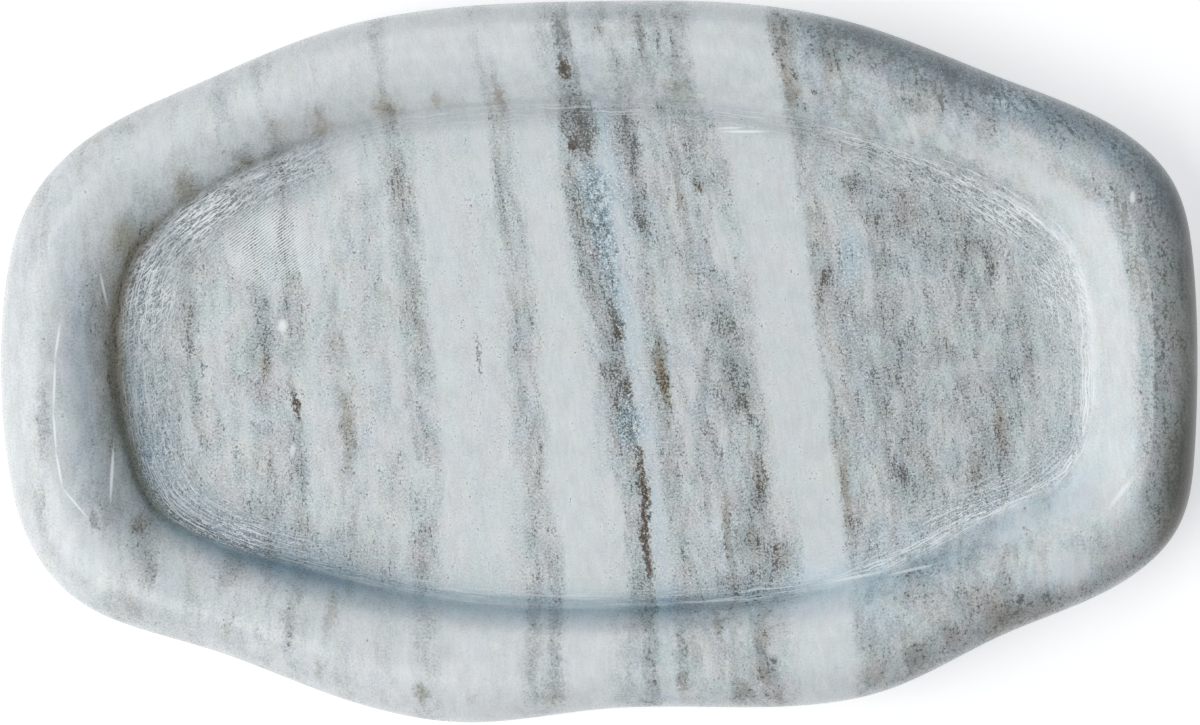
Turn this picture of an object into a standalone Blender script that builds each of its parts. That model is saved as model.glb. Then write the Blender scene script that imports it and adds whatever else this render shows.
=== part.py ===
"""An oval marble tray: one carved stone that stands on four stick-on felt pads.

Run with: blender --background --python part.py
The origin is on the table under the middle of the tray. X runs along its length and Z points up.
"""

import math

import bmesh
import bpy
import numpy as np
from mathutils import Vector
from mathutils.geometry import interpolate_bezier

# The stone, in metres
LENGTH = 0.300
WIDTH = 0.181
STONE_HEIGHT = 0.028
BASIN_DEPTH = 0.014

# The rim, from the stone's outline to the edge of the basin's floor, on each side
RIM_RIGHT = 0.0268
RIM_BACK = 0.0258
RIM_LEFT = 0.0302
RIM_FRONT = 0.0292
# The radius of the hollow between the basin's wall and its floor, on each side
FOOT_RIGHT = 0.0070
FOOT_BACK = 0.0024
FOOT_LEFT = 0.0070
FOOT_FRONT = 0.0036
# How far across the rim its crest lies, from the outline inwards
CREST_SHARES = {"right": 0.44, "back": 0.42, "left": 0.40, "front": 0.45}
# Where the line of the basin's wall meets the crest's level, from the crest to the floor's edge:
# the larger the share, the steeper the wall
WALL_TOP_SHARES = {"right": 0.16, "back": 0.50, "left": 0.66, "front": 0.68}

# The rounded outer side: its widest line lies UNDER_ROLL above the underside,
# which is flat from UNDERCUT inside the outline
UNDER_ROLL = 0.012
UNDERCUT = 0.013

# The felt pads and the film of glue that holds each of them to the underside
PAD_DIAMETER = 0.018
PAD_THICKNESS = 0.0025
PAD_EDGE = 0.0004
GLUE_FILM = 0.0003
# The pads' middles, as shares of the stone's half length and half width
PAD_PLACE_SHARES = {
    "felt_pad_front_left": (-0.60, -0.48),
    "felt_pad_front_right": (0.60, -0.48),
    "felt_pad_back_left": (-0.60, 0.48),
    "felt_pad_back_right": (0.60, 0.48),
}

# The stone's outline from above, as shares of its half length and half width, anticlockwise.
# The long sides swell and pinch like a pebble's, and the short ends are nearly straight.
OUTLINE_SHARES = [
    (1.000, 0.000), (0.992, 0.295), (0.943, 0.539), (0.838, 0.675), (0.671, 0.788),
    (0.436, 0.935), (0.303, 0.982), (0.002, 1.000), (-0.249, 0.982), (-0.416, 0.935),
    (-0.667, 0.774), (-0.834, 0.641), (-0.943, 0.467), (-0.992, 0.212), (-1.000, -0.040),
    (-0.988, -0.287), (-0.945, -0.522), (-0.851, -0.683), (-0.647, -0.799), (-0.433, -0.932),
    (-0.216, -1.000), (0.002, -0.963), (0.286, -0.957), (0.453, -0.924), (0.671, -0.760),
    (0.855, -0.630), (0.958, -0.486), (0.995, -0.259),
]
# The edge of the basin's flat floor, as shares of the floor's own half length and half width
FLOOR_SHARES = [
    (1.000, -0.089), (0.988, 0.229), (0.942, 0.447), (0.823, 0.626), (0.667, 0.765),
    (0.480, 0.885), (0.272, 0.968), (-0.019, 1.000), (-0.268, 0.980), (-0.476, 0.924),
    (-0.663, 0.797), (-0.840, 0.626), (-0.950, 0.435), (-0.998, 0.169), (-1.000, -0.129),
    (-0.971, -0.388), (-0.902, -0.634), (-0.767, -0.765), (-0.580, -0.865), (-0.351, -0.960),
    (-0.081, -1.000), (0.189, -0.988), (0.418, -0.936), (0.605, -0.825), (0.782, -0.646),
    (0.927, -0.507), (0.985, -0.348),
]

# How finely the stone is faceted
POINTS_AROUND = 112
UNDER_STEPS = 5
ROLL_STEPS = 6
WALL_STEPS = 7
FOOT_STEPS = 3
SPLINE_STEPS = 24
PAD_SIDES = 40
# How full the rounded outer side is: 0.55 makes an ellipse, and more a squarer edge
ROLL_FULLNESS = 0.60
# How long the crest stays level before it falls towards the basin
WALL_FULLNESS = 0.62

STONE_COLOUR = (0.60, 0.63, 0.64, 1.0)
STONE_ROUGHNESS = 0.35
FELT_COLOUR = (0.20, 0.19, 0.18, 1.0)
FELT_ROUGHNESS = 0.95

STONE_BOTTOM = PAD_THICKNESS + GLUE_FILM
STONE_TOP = STONE_BOTTOM + STONE_HEIGHT
FLOOR_LEVEL = STONE_TOP - BASIN_DEPTH
WIDEST_LEVEL = STONE_BOTTOM + UNDER_ROLL


def clear_scene():
    for obj in list(bpy.data.objects):
        bpy.data.objects.remove(obj, do_unlink=True)


def make_material(name, colour, roughness):
    material = bpy.data.materials.new(name)
    material.use_nodes = True
    shader = material.node_tree.nodes["Principled BSDF"]
    shader.inputs["Base Color"].default_value = colour
    shader.inputs["Roughness"].default_value = roughness
    shader.inputs["Metallic"].default_value = 0.0
    material.diffuse_color = colour
    return material


def add_object(name, shape, material):
    mesh = bpy.data.meshes.new(name)
    shape.to_mesh(mesh)
    shape.free()
    mesh.materials.append(material)
    mesh.shade_smooth()
    mesh.set_sharp_from_angle(angle=math.radians(40.0))
    obj = bpy.data.objects.new(name, mesh)
    bpy.context.scene.collection.objects.link(obj)
    return obj


def closed_spline(points):
    """A smooth closed cubic spline through the points, whose tangents solve one ring of equations."""
    here = np.array(points, float)
    after = np.roll(here, -1, axis=0)
    before = np.roll(here, 1, axis=0)
    step = np.linalg.norm(after - here, axis=1)[:, None]
    last_step = np.roll(step, 1, axis=0)
    count = len(here)
    ring = np.zeros((count, count))
    for i in range(count):
        ring[i, i - 1] = step[i, 0]
        ring[i, i] = 2 * (step[i, 0] + last_step[i, 0])
        ring[i, (i + 1) % count] = last_step[i, 0]
    pull = 3 * (step * (here - before) / last_step + last_step * (after - here) / step)
    tangent = np.linalg.solve(ring, pull)
    pieces = []
    for i in range(count):
        ends = [
            here[i],
            here[i] + tangent[i] * step[i] / 3,
            after[i] - tangent[(i + 1) % count] * step[i] / 3,
            after[i],
        ]
        knots = interpolate_bezier(*[Vector((*end, 0)) for end in ends], SPLINE_STEPS + 1)
        pieces += [tuple(knot[:2]) for knot in knots[:-1]]
    return np.array(pieces)


def outline_at(points, angles):
    """The outline's points on rays at these angles, scaled so that they just reach 1 along X and Y."""
    curve = closed_spline(points)
    turn = np.arctan2(curve[:, 1], curve[:, 0])
    reach = np.interp(angles, turn, np.hypot(curve[:, 0], curve[:, 1]), period=2 * math.pi)
    x = reach * np.cos(angles)
    y = reach * np.sin(angles)
    x = 2 * (x - x.min()) / (x.max() - x.min()) - 1
    y = 2 * (y - y.min()) / (y.max() - y.min()) - 1
    return np.column_stack([x, y])


def around(values, angles):
    """The four sides' values, blended smoothly from side to side round the tray."""
    across, along = np.cos(angles), np.sin(angles)
    ends = np.where(across > 0, values["right"], values["left"])
    sides = np.where(along > 0, values["back"], values["front"])
    return ends * across**2 + sides * along**2


def bend(start, corner, end, fullness, steps):
    """A smooth bend from start to end whose tangents meet at corner, as (inwards, up) points."""
    near_start = start + (corner - start) * fullness
    near_end = end + (corner - end) * fullness
    knots = interpolate_bezier(
        *[Vector((*p, 0)) for p in (start, near_start, near_end, end)], steps + 1
    )
    return [tuple(knot[:2]) for knot in knots]


def rim_section(rim_width, foot_radius, crest_share, wall_top_share):
    """The stone's section on one ray, from the underside round the outer side and over the crest,
    down the wall and its foot to the basin's floor: points as (distance inwards, height)."""
    under = np.array([UNDERCUT, STONE_BOTTOM])
    widest = np.array([0.0, WIDEST_LEVEL])
    crest = np.array([crest_share * rim_width, STONE_TOP])
    side = bend(under, np.array([0.0, STONE_BOTTOM]), widest, ROLL_FULLNESS, UNDER_STEPS)
    side += bend(widest, np.array([0.0, STONE_TOP]), crest, ROLL_FULLNESS, ROLL_STEPS)[1:]

    wall_top = np.array([crest[0] + wall_top_share * (rim_width - crest[0]), STONE_TOP])
    slope = math.atan2(BASIN_DEPTH, rim_width - wall_top[0])
    foot_reach = foot_radius * math.tan(slope / 2)
    foot_middle = np.array([rim_width + foot_reach, FLOOR_LEVEL + foot_radius])
    foot = [
        tuple(foot_middle - foot_radius * np.array([math.sin(turn), math.cos(turn)]))
        for turn in np.linspace(slope, 0.0, FOOT_STEPS + 1)
    ]
    wall = bend(crest, wall_top, np.array(foot[0]), WALL_FULLNESS, WALL_STEPS)[1:]
    return side + wall + foot[1:]


def stone_rings():
    """The stone's rings of points, from the edge of its underside to the edge of the flat floor."""
    angles = np.arange(POINTS_AROUND) * 2 * math.pi / POINTS_AROUND
    floor_half = np.array([LENGTH - RIM_LEFT - RIM_RIGHT, WIDTH - RIM_FRONT - RIM_BACK]) / 2
    floor_middle = np.array([RIM_LEFT - RIM_RIGHT, RIM_FRONT - RIM_BACK]) / 2
    outer = outline_at(OUTLINE_SHARES, angles) * [LENGTH / 2, WIDTH / 2]
    inner = outline_at(FLOOR_SHARES, angles) * floor_half + floor_middle
    rim_widths = np.linalg.norm(inner - outer, axis=1)
    inwards = (inner - outer) / rim_widths[:, None]
    foot_radii = {"right": FOOT_RIGHT, "back": FOOT_BACK, "left": FOOT_LEFT, "front": FOOT_FRONT}
    sections = [
        rim_section(*sizes)
        for sizes in zip(
            rim_widths,
            around(foot_radii, angles),
            around(CREST_SHARES, angles),
            around(WALL_TOP_SHARES, angles),
        )
    ]
    rings = []
    for station in zip(*sections):
        ring = []
        for place, direction, (distance, height) in zip(outer, inwards, station):
            ring.append((*(place + direction * distance), height))
        rings.append(ring)
    return rings


def carve_stone(material):
    """The one carved stone: rings bridged one to the next, closed by a flat underside and floor."""
    shape = bmesh.new()
    last_edges = None
    for ring in stone_rings():
        points = [shape.verts.new(place) for place in ring]
        edges = [
            shape.edges.new((points[i], points[(i + 1) % len(points)])) for i in range(len(points))
        ]
        if last_edges is None:
            shape.faces.new(points)
        else:
            bmesh.ops.bridge_loops(shape, edges=last_edges + edges)
        last_edges = edges
        last_points = points
    shape.faces.new(last_points)
    bmesh.ops.recalc_face_normals(shape, faces=shape.faces)
    return add_object("stone", shape, material)


def cut_pad(name, place_share, material):
    """One round felt pad with a softened lower edge, standing on the table under the stone."""
    shape = bmesh.new()
    bmesh.ops.create_cone(
        shape,
        cap_ends=True,
        segments=PAD_SIDES,
        radius1=PAD_DIAMETER / 2,
        radius2=PAD_DIAMETER / 2,
        depth=PAD_THICKNESS,
    )
    lower_edges = [edge for edge in shape.edges if all(point.co.z < 0 for point in edge.verts)]
    bmesh.ops.bevel(
        shape, geom=lower_edges, offset=PAD_EDGE, segments=2, profile=0.5, affect="EDGES"
    )
    pad = add_object(name, shape, material)
    pad.location = (
        place_share[0] * LENGTH / 2,
        place_share[1] * WIDTH / 2,
        PAD_THICKNESS / 2,
    )
    return pad


def main():
    clear_scene()
    marble = make_material("marble", STONE_COLOUR, STONE_ROUGHNESS)
    felt = make_material("felt", FELT_COLOUR, FELT_ROUGHNESS)
    carve_stone(marble)
    for name, place_share in PAD_PLACE_SHARES.items():
        cut_pad(name, place_share, felt)


main()
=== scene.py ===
"""Dresses the oval marble tray: the carved stone with its veins and tool marks, and the felt pads.

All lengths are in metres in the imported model's own frame: X runs along the tray, Y across it
towards the back and Z up from the table. Places in the marble are given in millimetres.
The camera looks straight down, so the photograph's right is +X and its top is +Y.
"""

import math
from functools import partialmethod

import bpy
import numpy as np
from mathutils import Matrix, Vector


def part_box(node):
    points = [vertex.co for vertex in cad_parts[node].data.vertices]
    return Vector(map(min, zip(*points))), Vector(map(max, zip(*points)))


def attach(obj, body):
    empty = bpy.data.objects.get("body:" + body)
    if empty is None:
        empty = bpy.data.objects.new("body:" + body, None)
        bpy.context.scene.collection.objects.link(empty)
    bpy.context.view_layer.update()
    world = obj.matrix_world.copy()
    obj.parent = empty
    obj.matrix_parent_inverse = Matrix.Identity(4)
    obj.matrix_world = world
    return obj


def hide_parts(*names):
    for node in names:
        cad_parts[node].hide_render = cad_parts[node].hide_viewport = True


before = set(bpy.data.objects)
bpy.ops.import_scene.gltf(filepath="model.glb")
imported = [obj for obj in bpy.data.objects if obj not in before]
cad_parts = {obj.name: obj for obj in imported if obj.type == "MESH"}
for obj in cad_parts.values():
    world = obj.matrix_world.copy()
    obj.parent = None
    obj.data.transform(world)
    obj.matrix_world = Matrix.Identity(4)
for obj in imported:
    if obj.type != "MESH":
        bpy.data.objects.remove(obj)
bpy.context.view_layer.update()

STONE_LOW, STONE_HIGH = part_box("stone")
MM = 0.001

# The stone's sizes, as it is carved
LENGTH = STONE_HIGH.x - STONE_LOW.x
WIDTH = STONE_HIGH.y - STONE_LOW.y
STONE_BOTTOM = STONE_LOW.z
STONE_TOP = STONE_HIGH.z
BASIN_DEPTH = 0.014
FLOOR_LEVEL = STONE_TOP - BASIN_DEPTH
UNDER_ROLL = 0.012
UNDERCUT = 0.013
RIM_WIDTHS = {"right": 0.0268, "back": 0.0258, "left": 0.0302, "front": 0.0292}
FOOT_RADII = {"right": 0.0070, "back": 0.0024, "left": 0.0070, "front": 0.0036}
CREST_SHARES = {"right": 0.44, "back": 0.42, "left": 0.40, "front": 0.45}
WALL_TOP_SHARES = {"right": 0.16, "back": 0.50, "left": 0.66, "front": 0.68}
ROLL_FULLNESS = 0.60
WALL_FULLNESS = 0.62

# The outline and the basin's edge from above, as shares of their half length and half width
OUTLINE_SHARES = [
    (1.000, 0.000), (0.992, 0.295), (0.943, 0.539), (0.838, 0.675), (0.671, 0.788),
    (0.436, 0.935), (0.303, 0.982), (0.002, 1.000), (-0.249, 0.982), (-0.416, 0.935),
    (-0.667, 0.774), (-0.834, 0.641), (-0.943, 0.467), (-0.992, 0.212), (-1.000, -0.040),
    (-0.988, -0.287), (-0.945, -0.522), (-0.851, -0.683), (-0.647, -0.799), (-0.433, -0.932),
    (-0.216, -1.000), (0.002, -0.963), (0.286, -0.957), (0.453, -0.924), (0.671, -0.760),
    (0.855, -0.630), (0.958, -0.486), (0.995, -0.259),
]
FLOOR_SHARES = [
    (1.000, -0.089), (0.988, 0.229), (0.942, 0.447), (0.823, 0.626), (0.667, 0.765),
    (0.480, 0.885), (0.272, 0.968), (-0.019, 1.000), (-0.268, 0.980), (-0.476, 0.924),
    (-0.663, 0.797), (-0.840, 0.626), (-0.950, 0.435), (-0.998, 0.169), (-1.000, -0.129),
    (-0.971, -0.388), (-0.902, -0.634), (-0.767, -0.765), (-0.580, -0.865), (-0.351, -0.960),
    (-0.081, -1.000), (0.189, -0.988), (0.418, -0.936), (0.605, -0.825), (0.782, -0.646),
    (0.927, -0.507), (0.985, -0.348),
]

# How finely the stone's surface is divided
POINTS_AROUND = 600
SPLINE_STEPS = 80
FLOOR_RINGS = 34
FOOT_RINGS = 8
WALL_RINGS = 24
ROLL_RINGS = 26
UNDER_RINGS = 16
BASE_RINGS = 12

# The rim was ground by hand, so it is a hair uneven. Each wave over it has its turns in radians
# per metre of X and of Y, and its start.
RIM_UNEVEN = 0.00035
RIM_WAVES = [(71, 43, 0.4), (-38, 97, 1.9), (127, -61, 4.1)]

# The felt pads: how finely they are divided, their rounded edge, the waver of their side, and how
# the felt shines and stands up
PAD_SIDES = 96
PAD_ROUND = 0.0006
PAD_WAVER = 0.00012
PAD_ROUND_POINTS = 7
PAD_FLAT_RINGS = 10
PAD_FLAT_SHARES = (0.12, 0.96)
FELT_SHEEN = 0.3
FELT_RELIEF = 0.0003
FELT_BUMP = 0.8

# The colours of the marble, its veins and the felt, as the screen shows them
PALE = (219, 223, 224)
GREY = (175, 180, 182)
DARK_GREY = (104, 110, 112)
DEEP_BLUE = (94, 122, 134)
DARK_GRAIN = (82, 84, 81)
BROWN_GRAIN = (62, 46, 32)
CRYSTAL = (208, 222, 228)
GLINT = (242, 246, 248)
FROST = (247, 250, 251)
FELT = (96, 94, 92)
FELT_FIBRE = (140, 138, 134)
WHITE = (1.0, 1.0, 1.0, 1.0)
# What blue and rust take from the light, and the stone's warmer and cooler casts
BLUE_TINT = (0.78, 0.88, 0.94, 1.0)
RUST_TINT = (0.62, 0.51, 0.36, 1.0)
WARM_CAST = (1.02, 0.99, 0.98, 1.0)
COOL_CAST = (0.935, 0.995, 1.005, 1.0)
OLIVE_CAST = (0.995, 1.0, 0.975, 1.0)
LILAC_CAST = (1.0, 0.988, 1.01, 1.0)
# The tint of the ground that wear darkens, which at the basin's left end is also painted shade
WEAR_AND_SHADE_TINT = (0.52, 0.56, 0.60, 1.0)
# The tints of the shade painted along the basin's edge
BLUE_PAINTED_SHADE = (0.50, 0.63, 0.71, 1.0)
GREY_PAINTED_SHADE = (0.56, 0.58, 0.62, 1.0)
SLATE_PAINTED_SHADE = (0.54, 0.61, 0.66, 1.0)
OLIVE_PAINTED_SHADE = (0.50, 0.49, 0.41, 1.0)
ICE_PAINTED_SHADE = (0.89, 0.97, 1.02, 1.0)

# The patch of fine ruled lines that the grinder left in the floor, in mm. Its spread is one over
# its half widths.
RULE_HEADING = (-0.60, 0.80, 0.0)
RULE_PITCH = 0.62
RULE_MIDDLE = (-82.0, 29.0, 0.0)
RULE_SPREAD = (1 / 17.0, 1 / 14.0, 0.0)
# The direction of the scratches that cross the basin's ends, on their mirrored halves
SCRATCH_HEADING = (-0.76, 0.65, 0.0)
SCRATCH_NORMAL = (0.65, 0.76, 0.0)

# The noises of the finishes: how fine they are per mm, alike all ways or along X, Y and Z, their
# octaves, how rough they are, and where there is one, a shift in mm that keeps two of them apart
NOISES = {
    "sway": ((0.035, 0.030, 0.040), 3, 0.65), "shake": ((0.90, 0.60, 0.80), 4, 0.68),
    "streaks": ((0.42, 0.13, 0.25), 3, 0.60), "patches": ((0.11, 0.04, 0.07), 2, 0.50),
    "clouds": ((0.30, 0.16, 0.20), 4, 0.65), "fibres": ((1.30, 0.16, 0.40), 2, 0.60),
    "casts": ((0.14, 0.10, 0.10), 3, 0.60), "crystals": (0.55, 3, 0.75), "dust": (1.9, 2, 0.70),
    "grit": ((1.9, 1.52, 1.9), 2, 0.75), "blotches": (1.0, 3, 0.75, (19, 7, 3)),
    "sparkle": (1.7, 2, 0.80, (37, 11, 5)), "sugar": (2.1, 2, 0.80, (5, 23, 11)),
    "wander": (0.22, 2, 0.50), "long_scratches": ((0.06, 0.06, 3.3), 2, 0.75),
    "short_scratches": ((0.35, 0.35, 3.1), 2, 0.75), "crossing_scratches": ((0.26, 2.2, 0), 2, 0.75),
    "wear": (0.07, 2, 0.50), "rule_waver": (0.12, 2, 0.50), "arc_waver": (0.08, 2, 0.50),
    "arc_breaks": (0.25, 3, 0.60), "felt_fibres": ((2.2, 7.7, 4.4), 4, 0.70),
    "felt_crossing": ((7.0, 2.0, 4.0), 4, 0.70),
}
# The curves of the finishes. Each says from where to where a value counts, and what it gives
# there, where that isn't 0 and 1. The value is a noise, the grey, rust or blue that the marble
# holds, a place or a distance in mm, or a distance from a mark's middle in its half widths.
CURVES = {
    "streaks": (0.34, 0.68, 0.72, 1.28), "patches": (0.35, 0.65, -0.2, 0.2), "casts": (0.38, 0.62),
    "clouds": (0.3, 0.7, 0.92, 1.06), "crystals": (0.38, 0.60), "grey": (0.05, 0.95),
    "dark_grey": (0.9, 2.0, 0, 0.85), "blue": (0.05, 1.1), "rust": (0.1, 1.4),
    "pools": (0.75, 1.6, 0, 0.85), "mottle": (0, 0.8, 0.25, 2.2), "cool_or_warm": (0, 0.6, 0.35, 1),
    "olive_or_lilac": (0, 0.7, 0.6, 1), "casts_on_rim": (-20, 60, 0.4, 1.3),
    "grain_start": (0, 2, 0.715, 0.33), "cleaner_rim": (0.25, 0.9, 0.07, 0),
    "fainter_rim": (0.7, 1.4, 1, 0.5), "grain_strength": (0.1, 1.2, 0.65, 0.95),
    "brown_grains": (0.15, 0.85), "glints_in_grey": (0, 0.7, 0, 0.45),
    "glint_start": (0, 1, 0.73, 0.57), "long_scratches": (0.54, 0.60),
    "short_scratches": (0.575, 0.625), "crossing_scratches": (0.53, 0.58),
    "crossing_behind": (-30, 5, 0.12, 0.9), "sugar": (0.55, 0.63), "rules": (0.1, 0.9),
    "ruled_patch": (1.1, 0.4), "ruled_wear": (0.40, 0.55, 0.3, 1), "arc_breaks": (0.44, 0.56, 0.15, 1),
    "mark": (1.5, 0.25), "stroke": (1.1, 0.3), "honed": (-1.5, 1), "belt_outside": (-4, 1.5),
    "belt_inside": (19, 5), "belt_ends": (45, 105, 0.12, 1), "belt_corners": (8, 24, 0.5, 1),
    "belt_wear": (0.36, 0.58, 0.60, 1), "crease": (5, 0), "crease_right": (10, 90, 0.38, 0.95),
    "left_wear_and_shade": (-60, 60, 1, 0.22), "bands_on_rim": (-12, 0, 0.80, 0.95), "mat": (0.45, 0.75),
    "mat_roughness": (0.3, 0.8, 1, 0.85),
}
# How far the slow sway and the fine shake carry the bands, in mm, and how much of the bands'
# strength comes from where the shake carries them
SWAY = 5.0
SHAKE = (5.6, 8.0, 0.0)
SHAKEN_SHARE = 0.62
# What the polished rim and the honed basin each have: a roughness, a relief in metres, a gain
# that evens their tones, how softly their dark grains end, and how much of the mottle and of the
# glints they show
ROUGHNESS = (0.24, 0.60)
RELIEF = (0.000006, 0.000030)
POLISH_GAIN = (1.04, 1.02)
GRAIN_SOFTNESS = (0.10, 0.05)
MOTTLE_SHARE = (0.75, 1.0)
GLINT_SHARE = (0.35, 1.0)
# How much rougher the dust makes the stone, and how high the frost stands over the dust
DUST_ROUGHNESS = 0.08
FROST_RELIEF = 0.8
# How far the fibres carry the ground's brightness, how far the fibres and the clouds each carry
# the noise that grains start from, and how softly a glint ends and how strong it is
FIBRE_MOTTLE = 0.24
GRAIN_CROWDING = -0.5
GLINT_SOFTNESS = 0.06
GLINT_STRENGTH = 0.85
# The middle of the belt of tool marks along Y, and of the crease inside the basin's edge, in mm
BELT_MIDDLE = -6.0
CREASE_MIDDLE = 1.0
# How far the scratches and the arcs waver, in mm, and the ruled lines, in radians of their wave
SCRATCH_WANDER = 1.4
RULE_WAVER = 9.0
ARC_WAVER = 3.0

# How the veins lie in the block, in mm. They cross the tray nearly upright in the photograph.
# Each row is a place across, on the tray's middle line, and the lean of the veins there, as
# millimetres of X per millimetre of Y. They also bow by BOW times the square of Y, and dip
# through the stone by DIP millimetres of X per millimetre of Z.
LEANS = [
    (-150, 0.040), (-100, 0.050), (-76, 0.055), (-46, 0.075), (-19, 0.100),
    (5, 0.140), (40, 0.140), (57, 0.130), (100, 0.110), (150, 0.100),
]
MIDDLE_LEAN = 0.12
BOW = 0.00035
DIP = 0.06

# The bands of the marble: the place across in mm, then how much grey, rust and blue it holds
BANDS = [
    (-150, 0.3, 0.05, 0.05), (-143, 0.32, 0.03, 0.05), (-140.5, 0.4, 0.06, 0),
    (-138, 0.46, 0.08, 0), (-135, 0.4, 0.06, 0.05), (-132.5, 0.36, 0, 0.35),
    (-127.5, 0.46, 0.05, 0.4), (-125, 0.6, 0.3, 0.1), (-121, 0.58, 0.4, 0),
    (-118.5, 0.44, 0.15, 0.15), (-115, 0.44, 0.05, 0.3), (-111, 0.5, 0.05, 0.2),
    (-106, 0.44, 0.08, 0.05), (-101.5, 0.64, 0.22, 0), (-98.5, 0.42, 0.08, 0),
    (-93, 0.44, 0.1, 0), (-88, 0.52, 0.12, 0.05), (-83.5, 0.68, 0.24, 0.05),
    (-80, 0.42, 0.05, 0.15), (-76.3, 0.7, 0.22, 0.05), (-73, 0.32, 0, 0.18),
    (-68, 0.4, 0.15, 0), (-64.2, 0.52, 0.36, 0), (-61, 0.36, 0.12, 0.05),
    (-54.5, 0.42, 0.15, 0), (-50.5, 0.34, 0.08, 0.05), (-46.2, 0.72, 0.32, 0),
    (-42.8, 0.46, 0.12, 0), (-40.5, 0.16, 0, 0.1), (-33, 0.18, 0.05, 0.12),
    (-25, 0.22, 0.08, 0.05), (-20, 0.54, 0.2, 0), (-16.5, 0.5, 0.2, 0),
    (-12, 0.12, 0, 0.12), (-5.5, 0.12, 0, 0.1), (-2.5, 0.34, 0.06, 0.05),
    (0.5, 0.58, 0.1, 0.12), (3.5, 0.7, 0.12, 0.15), (6.3, 0.86, 0.16, 0.15),
    (8, 0.3, 0, 0.46), (11.2, 0.3, 0, 0.42), (13.2, 0.54, 0.12, 0.2),
    (15.6, 0.66, 0.28, 0.1), (18, 0.5, 0.1, 0.1), (21, 0.44, 0.08, 0.05),
    (24, 0.52, 0.1, 0.05), (26.5, 0.64, 0.26, 0), (29, 0.52, 0.12, 0.05),
    (32.2, 0.66, 0.22, 0), (35.8, 0.7, 0.22, 0), (38.8, 0.5, 0.1, 0),
    (42.5, 0.12, 0.05, 0.03), (50, 0.08, 0.05, 0), (55, 0.1, 0.05, 0),
    (57.3, 0.6, 0.42, 0), (60.5, 0.54, 0.25, 0.05), (64.5, 0.52, 0.05, 0.35),
    (69, 0.62, 0.2, 0.15), (74, 0.68, 0.18, 0.1), (82, 0.6, 0.14, 0.15),
    (90, 0.66, 0.18, 0.1), (98, 0.68, 0.24, 0.08), (103, 0.58, 0.12, 0.2),
    (107, 0.64, 0.18, 0.12), (113, 0.48, 0.08, 0.25), (119, 0.4, 0.08, 0.15),
    (124, 0.22, 0.05, 0.05), (132, 0.18, 0.06, 0.05), (136, 0.42, 0.06, 0.1),
    (139, 0.54, 0.08, 0.15), (143, 0.66, 0.14, 0.12), (150, 0.95, 0.25, 0),
]
RAMP_STOPS = 30

# What single marks add to the bands: grey grains, rust and blue
BLACK_MARK = (0.85, 0.7, 0)
BROWN_MARK = (0.4, 0.85, 0)
GRAIN_MARK = (0.5, 0.06, 0)
BLUE_MARK = (-0.1, -0.2, 0.6)
POOL_MARK = (0.1, -0.4, 1.3)
PALE_MARK = (-0.5, -0.4, 0.1)
# A brown stain at the left wall's foot, which also paints the shade of that crease
STAIN_AND_SHADE_MARK = (0.35, 1.3, 0)
TAN_MARK = (0.05, 0.6, 0)
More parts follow.
